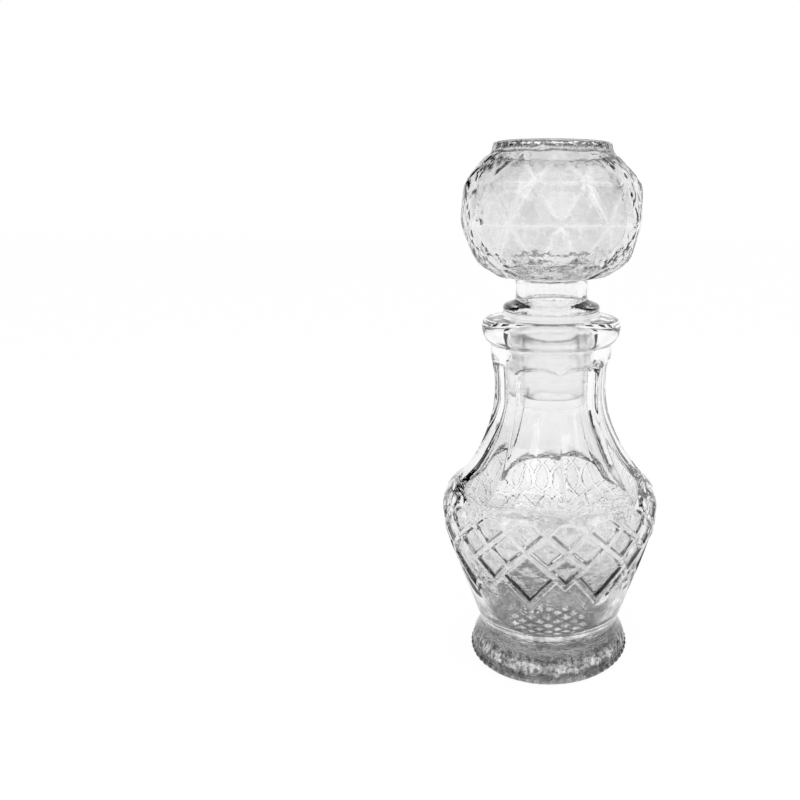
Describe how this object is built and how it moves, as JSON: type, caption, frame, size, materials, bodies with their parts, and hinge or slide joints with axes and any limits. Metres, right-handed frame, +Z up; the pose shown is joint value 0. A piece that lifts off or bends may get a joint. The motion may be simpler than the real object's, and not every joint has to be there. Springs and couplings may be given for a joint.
{
  "type": "decanter",
  "caption": "Small clear-glass decanter with diamond-cut body, panelled neck, beaded foot and lift-out faceted ball stopper in a ribbed sleeve.",
  "frame": {"origin": "Centre of the ring-shaped face under the foot that the bottle rests on, on the bottle's axis.", "axes": "+Z runs up the bottle's axis to the stopper's crown. -Y points at the viewer of the picture, and +X points to the viewer's right."},
  "size_m": [0.064, 0.064, 0.15],
  "materials": {
    "clear_glass": "fire-polished clear soda glass",
    "frosted_polyethylene": "translucent natural polyethylene, moulded"
  },
  "bodies": {
    "bottle": {"bottle": "clear_glass"},
    "sleeve": {"stopper_sleeve": "frosted_polyethylene"},
    "stopper": {"stopper": "clear_glass"}
  },
  "joints": [
    {"name": "stopper_lift", "type": "slide", "parent": "bottle", "child": "sleeve", "axis": [0, 0, 1], "range_m": [0, 0.03]},
    {"name": "stopper_turn", "type": "hinge", "parent": "sleeve", "child": "stopper", "pos_m": [0, 0, 0.1053], "axis": [0, 0, 1], "continuous": true}
  ]
}
